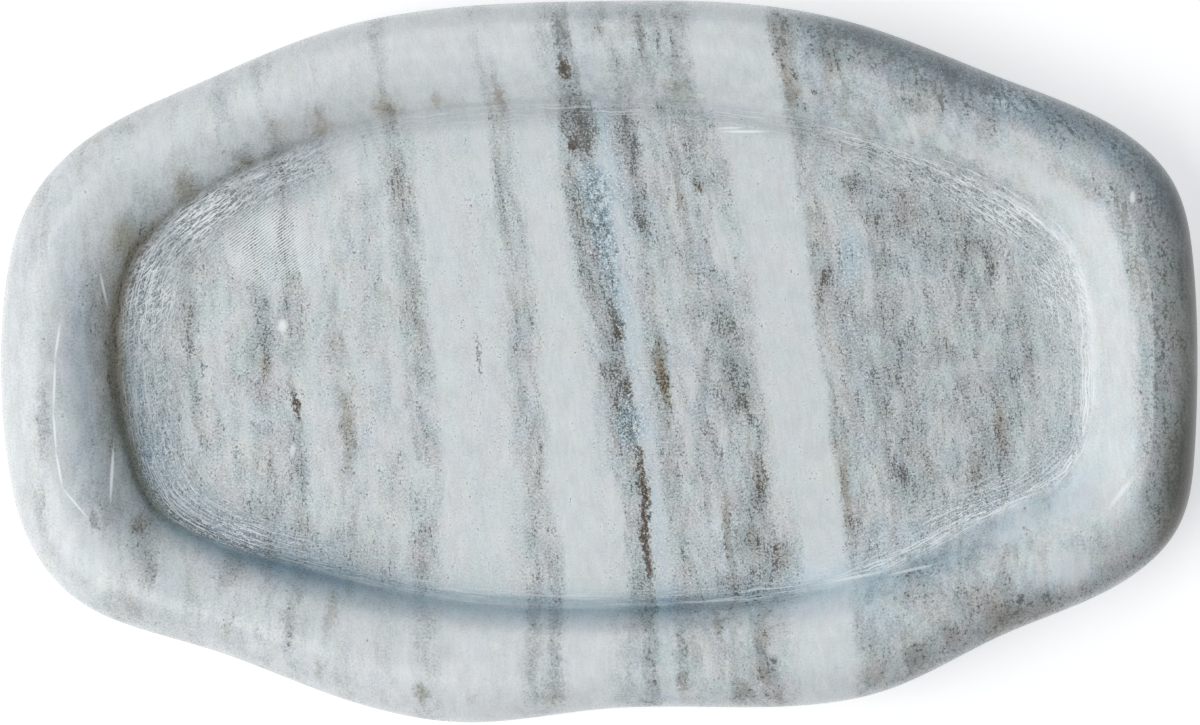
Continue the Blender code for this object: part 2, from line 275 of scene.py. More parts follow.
# Each row is a mark's X and Y in mm, its half widths that way, and its strength
MARKS = {
    BLACK_MARK: [
        (-8.3, 73, 1.6, 2.8, 1.9), (-6.2, 54.5, 1.3, 1.8, 1.6), (4.6, 7.3, 1.1, 2.4, 0.9),
        (6.7, -6.8, 1.1, 2.4, 0.7), (3.8, -10.8, 1.1, 2.8, 0.6), (10.3, -24, 1, 4, 0.8),
        (11.6, -33, 1.2, 7, 1.4), (12.3, -46, 1.1, 8.5, 1.3), (10.9, 80.5, 0.9, 7.5, 0.6),
        (36.3, -9.7, 1.3, 3, 0.5), (41, -29.6, 1.5, 7.5, 0.5), (41, -69.9, 1.8, 5, 0.5),
        (-30.8, 1.5, 0.5, 6, 0.8), (-75.3, -11.5, 0.8, 3.6, 1.2), (-99.3, -2, 0.5, 1.6, 0.9),
        (-124.6, -39.8, 0.8, 2.6, 0.5), (106.8, -41.8, 1.2, 0.6, 0.9), (62.7, 45, 2, 2.6, 0.3),
    ],
    BROWN_MARK: [
        (4, 28, 0.9, 1.4, 0.8), (16, -3.4, 1.4, 8.5, 1.1), (17.3, -17, 0.8, 4, 0.5),
        (20.3, 41.8, 1, 6, 0.6), (25.3, 43.8, 0.9, 1.6, 0.8), (32.9, -43.5, 1.1, 11, 0.6),
        (39, -45, 1.2, 5, 0.6), (46, -48.5, 2.8, 4, 0.5), (-63, -17, 1.8, 10, 0.4),
        (-83.1, -0.8, 1.8, 4, 0.5), (-102.2, 45, 3, 5, 0.35), (-78.3, 58.5, 3.4, 3.4, 0.2),
        (-69.5, 60.5, 5, 3.4, 0.2), (-53.4, 63, 3, 6, 0.35), (-40.6, 65.6, 1.2, 3, 0.4),
        (-24.8, 66.8, 1.8, 4, 0.5), (20.6, 68, 3.4, 4.5, 0.25), (48, 68, 2.4, 5, 0.5),
        (-89, 51, 4, 2.6, 0.5), (-117.6, 58.3, 2.6, 2.6, 0.4), (-115, -61, 3, 4, 0.5),
        (-113.8, -40.6, 2.2, 3, 0.6), (-92, -66, 3.4, 5, 0.3), (-66, -62, 2, 5, 0.6),
        (-69, -77.4, 1.6, 2.6, 0.5), (21.6, -79.9, 1.4, 3, 0.7), (30, -66, 1, 4, 0.7),
        (36, -82.4, 3, 3, 0.6), (45, -83.6, 1.2, 1.6, 0.7), (-43.1, -82.4, 1.4, 3, 0.6),
        (-31.1, -83.6, 1.5, 1.8, 0.5), (-10.3, -83.6, 4, 2, 0.4), (61.8, -33.6, 1.1, 11, 0.5),
        (61.5, 66.8, 3, 2, 0.3), (105.6, 46, 2.4, 2, 0.3), (133, 24, 2.6, 5, 0.4),
        (137, -14, 1.2, 2, 0.6), (98, -61, 6, 8, 0.4), (88, -68.5, 3, 4, 0.5),
        (70.5, -77.5, 5, 5, 0.4), (100.6, -17, 1.9, 7, 0.5), (107.2, -2.3, 1.6, 9.5, 0.4),
        (94.7, -27, 1.8, 5, 0.5), (76.5, 37.6, 2.4, 6, 0.4), (58, 77, 2.6, 6, 0.7),
        (80.5, -73.6, 4, 5, 0.6), (41.6, -78, 2.6, 3, 0.6),
    ],
    GRAIN_MARK: [
        (-9, 81.5, 2.2, 5, 1.2), (-4.6, 58.5, 4.4, 7.5, 1.7), (8, 56, 2.4, 6.5, 1.6),
        (11, 38, 1.9, 10, 0.8), (15.3, 80.5, 0.9, 5, 0.8), (32.8, -1, 3.6, 11.5, 0.6),
        (45.4, 80.7, 2.6, 5.5, 0.7), (21.4, -73.6, 1.7, 9, 0.9), (-102.5, 10.4, 2.4, 7.5, 0.5),
        (-91.8, 40.5, 4.8, 4.2, 0.8), (-92.8, 64.5, 3, 10, 0.4), (-85, 70.7, 1.6, 5.5, 0.8),
        (-136.7, 36.5, 1.3, 13, 0.5), (-137.2, -14, 1.5, 10, 0.8), (-138.5, -35, 1.3, 4, 0.7),
        (-112, -46.5, 3.6, 9, 0.9), (-110.7, -53.5, 0.9, 4, 0.7), (-92, -51.5, 3.6, 5, 1),
        (-76.3, -66, 1.4, 9, 0.7), (65, 44, 4.5, 3, 0.5), (57.2, 20.4, 1.8, 5, 0.6),
        (70.5, -6, 2.2, 8, 0.6), (92.4, 31.8, 1.6, 6, 0.6), (76.6, -29.6, 1.4, 10, 0.6),
        (98.8, 27, 1.8, 7, 0.9), (105.7, -60, 10, 5, 0.2), (88, -59, 8, 3.5, 0.5),
        (-5.4, 36, 2.4, 11, 0.9), (-2.8, 20, 2.2, 8, 0.8), (4.2, 8, 2, 5.5, 0.8),
        (-16, -68, 1.6, 12, 0.6), (-10.5, -66, 1.9, 15, 0.8), (-44, -70, 1.3, 12, 0.2),
        (-11, -47, 2.2, 10, 0.5), (80.5, 66.5, 5, 5, 0.7), (-14.8, 78, 3, 6, 0.6),
        (-9.5, -79, 3, 5, 0.5), (47.9, -51, 3.5, 9, 0.7), (63, 8, 3.5, 16, 0.35),
        (72.5, -22, 3, 12, 0.4), (95.6, -30, 3, 4, 0.5), (123, 43, 6, 4, 0.4),
        (-82.5, 5, 1.6, 12, 0.5), (-75, 12, 1.6, 12, 0.4), (35.4, -42, 2, 14, 0.35),
        (41.6, -30, 2, 8, 0.3), (130.4, 34.2, 3, 4.5, 0.5), (-1.5, 60, 2, 7, 1),
        (3, 4, 3, 14, 0.7), (43, -51.5, 3, 5, 0.8), (48.8, -41, 2.6, 10, 0.4),
        (34.5, -56, 6, 3, 0.7), (-88.8, 31, 4, 6, 0.4),
    ],
    BLUE_MARK: [
        (2.1, 56.8, 1.9, 6, 0.9), (7.1, 40.5, 2, 12, 1), (8.6, 5.4, 1.9, 14, 0.6),
        (11.5, -16, 1.3, 6, 0.7), (15.2, -43, 1.4, 13, 0.5), (-83.3, 43, 2.4, 3.5, 0.6),
        (-92.8, 66, 3.2, 8, 0.5), (-105.7, -53.5, 3.4, 9, 0.8), (63.5, 25.5, 3.2, 10.5, 0.8),
        (93.8, 40.5, 4.2, 2.6, 0.9), (106.9, -51, 4, 6, 0.3), (103, 64.5, 8, 4, 1),
        (57.5, 80, 2.6, 6, 0.8), (128, 52, 5, 4, 0.7), (137, 2, 2.5, 8, 0.6),
        (138, -17, 3, 8, 0.5), (76, 71, 8, 4, 0.7),
    ],
    POOL_MARK: [
        (7.3, -15.7, 2.8, 6, 1.1), (-0.2, 42.5, 4.6, 7.5, 1), (1.6, 32, 3.4, 6.5, 0.9),
        (3.4, 22, 2.4, 6, 0.8), (4.6, 11, 1.5, 5, 0.6),
    ],
    TAN_MARK: [
        (-78.5, 58, 5, 3.6, 0.5), (-69.5, 60, 7, 3.6, 0.5), (-53, 62.5, 6, 5, 0.5),
        (20.6, 67, 5, 4, 0.5), (-118, 31, 4, 6, 0.9), (-102.5, 43, 4, 5, 0.6),
        (-40, 64.5, 5, 3, 0.4), (-24.5, 65.5, 5, 3, 0.4),
    ],
    PALE_MARK: [
        (-7, -33, 5, 26, 0.6), (5, -42, 2.4, 18, 0.8), (-56, 60, 18, 8, 0.3),
        (27.5, 73, 5, 11, 1.1), (114.5, -52, 8, 6, 0.8), (64, -59, 5, 5, 0.5),
        (-68, 40, 3.5, 14, 0.7), (-29.5, 56, 2.6, 16, 0.8), (-43.5, -32, 2.5, 8, 0.8),
        (1.5, 73, 3, 6, 0.8), (30.5, 30, 3.5, 14, 0.9), (29.6, -16, 2, 7, 0.5),
        (30.5, -42, 2, 8, 0.6), (10.3, -75, 3.5, 8, 0.6), (-45, -75, 2.4, 8, 0.5),
        (-102.5, -20, 3, 12, 0.5), (-119, -26, 2, 10, 0.4), (-63.5, 52, 3, 8, 0.6),
        (-123, -50, 4, 8, 0.8), (-61, 50, 6, 7, 0.5),
    ],
}
# Marks that follow the basin's edge: what they add, then their middle and half their spread, in
# degrees of the way round the edge from its right end, and how far inside the edge their middle
# lies and half their breadth, in mm. The stain at the left wall's foot and the grey and blue at
# the front wall's foot are partly the stone's own colour and partly painted shade of those creases.
EDGE_MARKS = [
    ((0.8, 0, 0.85), 38, 33, -38, 20), ((0.35, 0.05, 0.3), 50, 24, -29, 13),
    ((1.15, 0.8, 0), -3, 24, -41, 15), ((0.6, 0.1, 0.12), 6, 28, -19.5, 7.5),
    ((0.6, 0.4, 0), -30, 15, -34, 12), ((0.5, 0.4, 0.1), -10, 11, -33, 10),
    ((0.55, 0.3, 0.1), -16, 13, -26.5, 8), ((-0.45, -0.1, 0), 337, 16, -9.5, 12),
    ((-0.4, 0.05, 0), 33, 20, -11, 8.5), (STAIN_AND_SHADE_MARK, 183, 29, -2.4, 5),
    ((0.2, 0.35, 0), 180, 34, -8, 10), ((0.15, 0.35, 0), 150, 26, -2, 5),
    ((0, 0.4, 0), 214, 16, -0.5, 3), ((0.25, 0, 0.15), 287, 18, -1.5, 6),
    ((0.25, 0, 0.2), 180, 80, 7, 11), ((0.15, 0, 0.25), 0, 60, 6, 10),
    ((-0.22, -0.05, 0.03), 131, 44, -24, 20), ((-0.45, -0.2, 0), 336, 10, -29, 9),
    ((0.05, -0.1, 0.4), 317, 17, -9, 11), ((0.08, 0.25, 0), 127, 26, -4, 5.5),
]
# Painted shade along the basin's edge: darker and bluer tints on its walls, in its creases and on
# the outer sides that face away from the lamps, a few of them partly the stone's own darker ground.
# Each row holds the tint, the places as above, and how strong it is
PAINTED_EDGE_SHADES = [
    (BLUE_PAINTED_SHADE, 250, 54, -3.4, 11, 0.84), (BLUE_PAINTED_SHADE, 209, 34, -2.2, 9, 1),
    (BLUE_PAINTED_SHADE, 290, 22, -1, 7, 0.3), (GREY_PAINTED_SHADE, 95, 80, 1.4, 6, 0.55),
    (BLUE_PAINTED_SHADE, 262, 55, 0.8, 1.8, 0.35), (SLATE_PAINTED_SHADE, 189, 24, -14, 9, 0.64),
    (OLIVE_PAINTED_SHADE, 184, 28, -5, 6, 0.34), (SLATE_PAINTED_SHADE, 36, 38, -38, 15, 0.45),
    (OLIVE_PAINTED_SHADE, -1, 19, -32, 14, 0.95), (GREY_PAINTED_SHADE, 182, 44, -27, 17, 0.2),
    (ICE_PAINTED_SHADE, 318, 40, -2, 17, 1), (ICE_PAINTED_SHADE, 208, 28, 6, 7, 1),
    (GREY_PAINTED_SHADE, 153, 20, 7, 14, 0.48), (BLUE_PAINTED_SHADE, 232, 14, -11, 7, 0.35),
    (SLATE_PAINTED_SHADE, 173, 22, 3.5, 6, 0.45), (BLUE_PAINTED_SHADE, 186, 16, 3, 4, 0.25),
]
# White strokes that the grinder left: X, Y, heading in degrees, half length and half breadth
# in mm, and strength
STROKES = [
    (36.5, 57.6, 0, 7.5, 0.5, 1), (33, 58.5, 2, 4, 0.4, 0.8),
    (-121.2, -27.8, 88, 8.5, 0.5, 1), (-123.4, 18.2, 101, 5.4, 0.4, 0.8),
    (-134.4, 5, 81.5, 6, 0.4, 0.9), (-135.2, -5.9, 88, 7.5, 0.4, 0.9),
    (-135.1, -17.2, 94, 6.5, 0.4, 0.9), (-134, -26.7, 100, 6.2, 0.4, 0.9),
    (-130, -35.2, 130, 6, 0.4, 0.8), (129.8, -32.5, 52, 6.5, 0.8, 0.7),
    (-79.3, 9, 80, 2.2, 1.5, 0.8), (-76.7, -22.2, 88, 2.4, 0.9, 0.6),
    (132.4, 40.7, 88, 2.2, 0.9, 0.9), (64, -54, 11, 9, 0.5, 0.6),
    (78, -52, 14, 8, 0.45, 0.6),
]
# White arcs along the edge: their places as the marks' along the edge, and their strength
ARCS = [
    (28, 17, -2.6, 0.45, 0.8), (16, 20, -0.4, 0.45, 0.8), (12, 24, 1.7, 0.45, 0.8),
    (350, 18, 0.8, 0.5, 0.7), (338, 14, -0.6, 0.5, 0.6), (326, 12, 0.4, 0.45, 0.7),
    (316, 12, 1.8, 0.45, 0.6), (165, 20, 1.4, 0.4, 0.6), (150, 16, 2.6, 0.45, 0.8),
    (207, 16, 3.4, 0.4, 0.6), (222, 14, 2.2, 0.45, 0.5),
]


def linear(colour):
    """A screen colour from 0 to 255 as the linear light that shaders count in."""
    shares = np.array(colour) / 255.0
    light = np.where(shares <= 0.04045, shares / 12.92, ((shares + 0.055) / 1.055) ** 2.4)
    return (*light.tolist(), 1.0)


def new_piece(name, points, faces, material):
    """An object from an array of points and a list of faces, shaded smooth."""
    mesh = bpy.data.meshes.new(name)
    mesh.from_pydata(points.tolist(), [], faces)
    mesh.validate()
    mesh.shade_smooth()
    mesh.materials.append(material)
    piece = bpy.data.objects.new(name, mesh)
    bpy.context.scene.collection.objects.link(piece)
    return piece


def closed_spline(points):
    """A closed cubic curve through the points. Its tangents solve the ring of equations that
    keeps the curvature continuous, and each stretch is Hermite's blend of its two ends."""
    here = np.array(points)
    after = np.roll(here, -1, axis=0)
    step = np.linalg.norm(after - here, axis=1)[:, None]
    before = np.roll(here, 1, axis=0)
    last_step = np.roll(step, 1, axis=0)
    to_one = np.eye(len(here))
    ring = 2 * (step + last_step) * to_one
    ring += step * np.roll(to_one, -1, axis=1) + last_step * np.roll(to_one, 1, axis=1)
    pull = 3 * (step * (here - before) / last_step + last_step * (after - here) / step)
    tangent = np.linalg.solve(ring, pull)
    share = (np.arange(SPLINE_STEPS) / SPLINE_STEPS)[:, None]
    near, far = share[None], 1 - share[None]
    leave = tangent[:, None] * step[:, None]
    arrive = np.roll(tangent, -1, axis=0)[:, None] * step[:, None]
    curve = here[:, None] * far**2 * (1 + 2 * near) + after[:, None] * near**2 * (1 + 2 * far)
    curve += leave * near * far**2 - arrive * far * near**2
    return curve.reshape(-1, 2)


def outline_at(points, angles):
    """The closed curve's points on rays at these angles, scaled to just reach 1 along X and Y."""
    curve = closed_spline(points)
    turn = np.arctan2(curve[:, 1], curve[:, 0])
    reach = np.interp(angles, turn, np.hypot(curve[:, 0], curve[:, 1]), period=2 * math.pi)
    plan = reach[:, None] * np.column_stack([np.cos(angles), np.sin(angles)])
    low, high = plan.min(axis=0), plan.max(axis=0)
    return 2 * (plan - low) / (high - low) - 1


def around(values, angles):
    """The four sides' values, blended by the squares of the ray's cosine and sine."""
    across, along = np.cos(angles), np.sin(angles)
    ends = np.where(across > 0, values["right"], values["left"])
    sides = np.where(along > 0, values["back"], values["front"])
    return ends * across**2 + sides * along**2


def bend(start, corner, end, fullness, steps):
    """Bezier's cubic from start to end on every ray at once, whose tangents meet at corner.
    Each end is a (distance inwards, height) pair of arrays, and so is each ring of the result."""
    near_start = start + (corner - start) * fullness
    near_end = end + (corner - end) * fullness
    share = np.linspace(0.0, 1.0, steps + 1)[:, None, None]
    back = 1 - share
    middle = 3 * back**2 * share * near_start + 3 * back * share**2 * near_end
    return back**3 * start + middle + share**3 * end


def pair(inwards, height, angles):
    """A (distance inwards, height) pair of arrays, one value to each ray."""
    return np.array([np.broadcast_to(inwards, angles.shape), np.broadcast_to(height, angles.shape)])


def stone_section(rim_widths, angles):
    """The stone's section on every ray, from the flat floor's edge up the foot and the wall, over
    the crest and round the outer side to the flat underside's edge. The foot is an arc that
    touches the floor and the wall, and the rest are Bezier bends that share their tangents."""
    crest_in = around(CREST_SHARES, angles) * rim_widths
    wall_top_in = crest_in + around(WALL_TOP_SHARES, angles) * (rim_widths - crest_in)
    slope = np.arctan2(BASIN_DEPTH, rim_widths - wall_top_in)
    radius = around(FOOT_RADII, angles)
    foot_reach = radius * np.tan(slope / 2)
    turn = np.linspace(0.0, 1.0, FOOT_RINGS + 1)[:, None] * slope
    foot = np.stack([
        rim_widths + foot_reach - radius * np.sin(turn),
        FLOOR_LEVEL + radius * (1 - np.cos(turn)),
    ], axis=1)
    crest = pair(crest_in, STONE_TOP, angles)
    widest = pair(0.0, STONE_BOTTOM + UNDER_ROLL, angles)
    under = pair(UNDERCUT, STONE_BOTTOM, angles)
    wall_top = pair(wall_top_in, STONE_TOP, angles)
    upper = pair(0.0, STONE_TOP, angles)
    lower = pair(0.0, STONE_BOTTOM, angles)
    wall = bend(foot[-1], wall_top, crest, WALL_FULLNESS, WALL_RINGS)
    roll = bend(crest, upper, widest, ROLL_FULLNESS, ROLL_RINGS)
    under_roll = bend(widest, lower, under, ROLL_FULLNESS, UNDER_RINGS)
    return np.concatenate([foot, wall[1:], roll[1:], under_roll[1:]])


def smooth_step(low, high, value):
    """0 below low, 1 above high, and the cubic 3t2 - 2t3 between them."""
    share = np.clip((value - low) / (high - low), 0.0, 1.0)
    return share * share * (3 - 2 * share)


def unevenness(points):
    """A slow waver over the stone: the mean of the rim's plane waves, from 0 to 1."""
    x, y = points[..., 0], points[..., 1]
    waves = sum(np.sin(along * x + across * y + start) for along, across, start in RIM_WAVES)
    return 0.5 + waves / (2 * len(RIM_WAVES))


def stone_points():
    """The stone's rings of points from the basin's middle to the base's, the poles in both
    middles, and which rings are the basin's edge and the widest.

    A point is a ray's outline point plus a distance inwards along the ray. The floor's and the
    base's rings shrink evenly to their middles. The crest and the shoulders sink by a slow waver.
    """
    angles = np.arange(POINTS_AROUND) * 2 * math.pi / POINTS_AROUND
    rims = np.array([RIM_WIDTHS[side] for side in ("left", "right", "front", "back")])
    floor_half = np.array([LENGTH - rims[0] - rims[1], WIDTH - rims[2] - rims[3]]) / 2
    floor_middle = np.array([rims[0] - rims[1], rims[2] - rims[3]]) / 2
    outer = outline_at(OUTLINE_SHARES, angles) * [LENGTH / 2, WIDTH / 2]
    inner = outline_at(FLOOR_SHARES, angles) * floor_half + floor_middle
    rim_widths = np.linalg.norm(inner - outer, axis=1)
    inwards = (inner - outer) / rim_widths[:, None]
    section = stone_section(rim_widths, angles)
    plan = outer + inwards * section[:, 0, :, None]
    rings = np.concatenate([plan, section[:, 1, :, None]], axis=2)
    raised = smooth_step(FLOOR_LEVEL + BASIN_DEPTH / 4, STONE_TOP, rings[..., 2])
    rings[..., 2] -= RIM_UNEVEN * raised * unevenness(rings)

    share = (np.arange(1, FLOOR_RINGS) / FLOOR_RINGS)[:, None, None]
    middle = np.array([*floor_middle, FLOOR_LEVEL])
    floor = middle + (rings[0] - middle) * share
    base_middle = np.array([0.0, 0.0, STONE_BOTTOM])
    base = base_middle + (rings[-1] - base_middle) * share[::-1][:: FLOOR_RINGS // BASE_RINGS]
    floor_edge = len(floor) + FOOT_RINGS // 2
    widest = len(floor) + FOOT_RINGS + WALL_RINGS + ROLL_RINGS
    return np.concatenate([floor, rings, base]), [middle, base_middle], floor_edge, widest


def ringed_piece(name, rings, poles, material):
    """One closed surface of rings of points. Four-cornered faces join each ring to the next, and
    three-cornered ones close the first ring to the first pole and the last ring to the second."""
    ring_count, count = rings.shape[:2]
    here = np.arange(count)
    after = (here + 1) % count
    starts = np.arange(ring_count - 1)[:, None] * count
    corners = [starts + here, starts + here + count, starts + after + count, starts + after]
    faces = np.stack(corners, axis=-1).reshape(-1, 4).tolist()
    pole = np.full(count, ring_count * count)
    last = (ring_count - 1) * count
    faces += np.stack([pole, here, after], axis=-1).tolist()
    faces += np.stack([pole + 1, last + after, last + here], axis=-1).tolist()
    return new_piece(name, np.concatenate([rings.reshape(-1, 3), poles]), faces, material)


def carve_stone(material):
    """The whole stone as one closed surface of rings, with a pole in the floor and in the base."""
    rings, poles, edge_ring, widest_ring = stone_points()
    stone = ringed_piece("carved_stone", rings, poles, material)
    add_bake_map(stone, rings, widest_ring)
    add_edge_place(stone, rings, edge_ring)
    return stone


def add_edge_place(stone, rings, edge_ring):
    """Stores at each point where it lies along the basin's edge, as a place on a circle as long
    as the edge, and how far inwards of it the point is, measured over the surface."""
    edge = rings[edge_ring]
    steps = np.linalg.norm(np.roll(edge, -1, axis=0) - edge, axis=1)
    turn = 2 * math.pi * np.cumsum(steps) / steps.sum()
    radius = steps.sum() / (2 * math.pi)
    hops = np.linalg.norm(np.diff(rings, axis=0), axis=2)
    run = np.concatenate([np.zeros((1, rings.shape[1])), np.cumsum(hops, axis=0)])
    inside = run[edge_ring] - run
    circle = np.broadcast_to(radius * np.column_stack([np.cos(turn), np.sin(turn)]), (*run.shape, 2))
    place = np.concatenate([circle, inside[..., None]], axis=2).reshape(-1, 3)
    poles = [[0.0, 0.0, run[edge_ring].mean()], [0.0, 0.0, inside.min()]]
    values = np.concatenate([place, poles])
    stone.data.attributes.new("edge_place", "FLOAT_VECTOR", "POINT").data.foreach_set(
        "vector", values.ravel()
    )


def add_bake_map(stone, rings, widest_ring):
    """Two flat islands: the top unrolled from the basin's middle to the widest ring, which gets
    most of the map, and below it the underside. A point's distance from its island's middle is
    its run over the surface, so the walls get their full area."""
    hops = np.linalg.norm(np.diff(rings, axis=0), axis=2)
    first_hop = np.linalg.norm(rings[0] - rings[0].mean(axis=0), axis=1)
    run = np.concatenate([first_hop[None], first_hop + np.cumsum(hops, axis=0)])
    ray = rings[widest_ring, :, :2]
    ray = ray / np.linalg.norm(ray, axis=1)[:, None]
    last_hop = np.linalg.norm(rings[-1, :, :2], axis=1)
    back_run = run[-1] + last_hop - run
    top = ray * run[..., None]
    under = ray * back_run[..., None] * [1, -1]
    margin, top_share = 0.006, 0.655
    span = np.ptp(top[: widest_ring + 1].reshape(-1, 2), axis=0)
    scale = min((1 - 2 * margin) / span[0], (top_share - 2 * margin) / span[1])
    top = top * scale + [0.5, 1 - top_share / 2]
    under_span = np.ptp(under[widest_ring:].reshape(-1, 2), axis=0)
    under = under * (1 - top_share - 2 * margin) / under_span[1] + [0.5, (1 - top_share) / 2]
    poles = np.array([[0.5, 1 - top_share / 2], [0.5, (1 - top_share) / 2]])
    top = np.concatenate([top.reshape(-1, 2), poles])
    under = np.concatenate([under.reshape(-1, 2), poles])

    mesh = stone.data
    corners = np.empty(len(mesh.loops), np.int32)
    mesh.loops.foreach_get("vertex_index", corners)
    counts = np.empty(len(mesh.polygons), np.int32)
    mesh.polygons.foreach_get("loop_total", counts)
    owner = np.repeat(np.arange(len(counts)), counts)
    lowest = np.full(len(counts), len(top))
    np.minimum.at(lowest, owner, corners)
    below = (lowest >= widest_ring * rings.shape[1]) & (lowest < rings.shape[0] * rings.shape[1])
    chosen = np.where(below[owner][:, None], under[corners], top[corners])
    mesh.uv_layers.new(name="OFBake").data.foreach_set("uv", chosen.ravel())


class Nodes:
    """A material's node tree, with one short call for each kind of node that the finishes use."""

    def __init__(self, name):
        self.material = bpy.data.materials.new(name)
        self.material.use_nodes = True
        self.tree = self.material.node_tree
        self.shader = self.tree.nodes["Principled BSDF"]

    def add(self, kind, **settings):
        node = self.tree.nodes.new(kind)
        for name, value in settings.items():
            setattr(node, name, value)
        return node

    def feed(self, socket, value):
        """Links the socket to value, or sets it where value is a plain number or colour."""
        if isinstance(value, bpy.types.NodeSocket):
            self.tree.links.new(value, socket)
        else:
            socket.default_value = value

    def maths(self, operation, *values, clamp=False):
        node = self.add("ShaderNodeMath", operation=operation, use_clamp=clamp)
        for socket, value in zip(node.inputs, values):
            self.feed(socket, value)
        return node.outputs["Value"]

    def chain(self, operation, first, *others):
        """All the values taken together by the operation, two at a time."""
        for value in others:
            first = self.maths(operation, first, value)
        return first

    plus = partialmethod(chain, "ADD")
    times = partialmethod(chain, "MULTIPLY")
    most = partialmethod(chain, "MAXIMUM")

    def swing(self, value, reach):
        """A value from 0 to 1, carried to reach in all, half of it each side of 0."""
        return self.maths("MULTIPLY_ADD", value, reach, -reach / 2)

    def distance(self, value, middle):
        """How far the value lies from the middle, on either side."""
        return self.maths("ABSOLUTE", self.maths("SUBTRACT", value, middle))

    def vector(self, operation, *values):
        node = self.add("ShaderNodeVectorMath", operation=operation)
        for socket, value in zip(node.inputs, values):
            self.feed(socket, value)
        return node.outputs["Value" if operation in ("LENGTH", "DOT_PRODUCT") else "Vector"]

    def split(self, vector):
        node = self.add("ShaderNodeSeparateXYZ")
        self.feed(node.inputs[0], vector)
        return node.outputs

    def join(self, x, y, z):
        node = self.add("ShaderNodeCombineXYZ")
        for socket, value in zip(node.inputs, (x, y, z)):
            self.feed(socket, value)
        return node.outputs[0]

    def even(self, value):
        """The same value three times over, to scale a colour or a vector by."""
        return self.join(value, value, value)

    def steps(self, value, low, high, to_low=0.0, to_high=1.0, smooth=True):
        """value carried from low..high to to_low..to_high, and held at the ends."""
        kind = "SMOOTHSTEP" if smooth else "LINEAR"
        node = self.add("ShaderNodeMapRange", interpolation_type=kind)
        for name, given in zip(("Value", "From Min", "From Max", "To Min", "To Max"),
                               (value, low, high, to_low, to_high)):
            self.feed(node.inputs[name], given)
        return node.outputs[0]

    def curve(self, value, name, smooth=True):
        """The value carried along the named one of the CURVES."""
        return self.steps(value, *CURVES[name], smooth=smooth)

    def noise(self, place, name, colour=False):
        """The named one of the NOISES, at a place in mm: one value, or three as a colour."""
        fineness, octaves, roughness, *shift = NOISES[name]
        if shift:
            place = self.vector("ADD", place, *shift)
        if isinstance(fineness, tuple):
            place = self.vector("MULTIPLY", place, fineness)
            fineness = 1.0
        node = self.add("ShaderNodeTexNoise")
        self.feed(node.inputs["Vector"], place)
        self.feed(node.inputs["Scale"], fineness)
        self.feed(node.inputs["Detail"], octaves)
        self.feed(node.inputs["Roughness"], roughness)
        return node.outputs[1 if colour else 0]

    def mix(self, share, first, second, blend="MIX"):
        node = self.add("ShaderNodeMix", data_type="RGBA", blend_type=blend)
        self.feed(node.inputs["Factor"], share)
        for name, value in (("A", first), ("B", second)):
            socket = next(s for s in node.inputs if s.name == name and s.type == "RGBA")
            self.feed(socket, linear(value) if isinstance(value, tuple) and len(value) == 3 else value)
        return next(s for s in node.outputs if s.type == "RGBA")

    def tint(self, share, tone, tint):
        """The tone, multiplied by the tint as far as the share goes."""
        return self.mix(share, tone, tint, "MULTIPLY")

    def ramp(self, value, stops):
        """A colour ramp over the stops' own range. Each stop is its place and its colour."""
        low, high = stops[0][0], stops[-1][0]
        share = self.steps(value, low, high, smooth=False)
        node = self.add("ShaderNodeValToRGB")
        self.feed(node.inputs[0], share)
        elements = node.color_ramp.elements
        elements[0].position, elements[1].position = 0.0, 1.0
        for place, *_ in stops[1:-1]:
            elements.new((place - low) / (high - low))
        for element, (_, *colour) in zip(elements, stops):
            element.color = (*(colour * 3)[:3], 1.0)
        return node.outputs["Color"]

    def place(self):
        """The point's place on the object, in mm."""
        place = self.vector("SCALE", self.add("ShaderNodeTexCoord").outputs["Object"])
        place.node.inputs["Scale"].default_value = 1 / MM
        return place

    def finish(self, tone, roughness, relief, strength):
        """Gives the shader its colour, its roughness and a relief in metres."""
        bump = self.add("ShaderNodeBump")
        self.feed(bump.inputs["Strength"], strength)
        self.feed(bump.inputs["Distance"], 1.0)
        self.feed(bump.inputs["Height"], relief)
        for name, value in (("Base Color", tone), ("Roughness", roughness), ("Normal", bump.outputs[0])):
            self.feed(self.shader.inputs[name], value)
        return self.material


def vein_across(x, y):
    """The place across the bands of a point on the basin's floor, in mm."""
    lean = np.interp(x + MIDDLE_LEAN * y, *zip(*LEANS))
    return float(x + lean * y + BOW * y**2)


def vein_place(nodes):
    """The place in mm, and the place in the marble's own bands: across them, along Y, and up.

    Across is X plus the veins' lean there times Y, plus their bow times the square of Y, plus the
    dip times the height, plus a slow sway. Both are then shaken by a fine noise, so that the
    bands end in grains and not in lines.
    """
    place = nodes.place()
    x, y, z = nodes.split(place)
    lift = nodes.maths("SUBTRACT", z, FLOOR_LEVEL / MM)
    lean = nodes.ramp(nodes.maths("MULTIPLY_ADD", y, MIDDLE_LEAN, x), LEANS)
    slant = nodes.maths("MULTIPLY_ADD", y, BOW, lean)
    across = nodes.maths("MULTIPLY_ADD", y, slant, nodes.maths("MULTIPLY_ADD", lift, DIP, x))
    across = nodes.plus(across, nodes.swing(nodes.noise(place, "sway"), SWAY))
    flow = nodes.join(across, y, lift)
    shake = nodes.noise(flow, "shake", colour=True)
    shake = nodes.vector("MULTIPLY_ADD", shake, SHAKE, tuple(-reach / 2 for reach in SHAKE))
    return place, flow, nodes.vector("ADD", flow, shake)


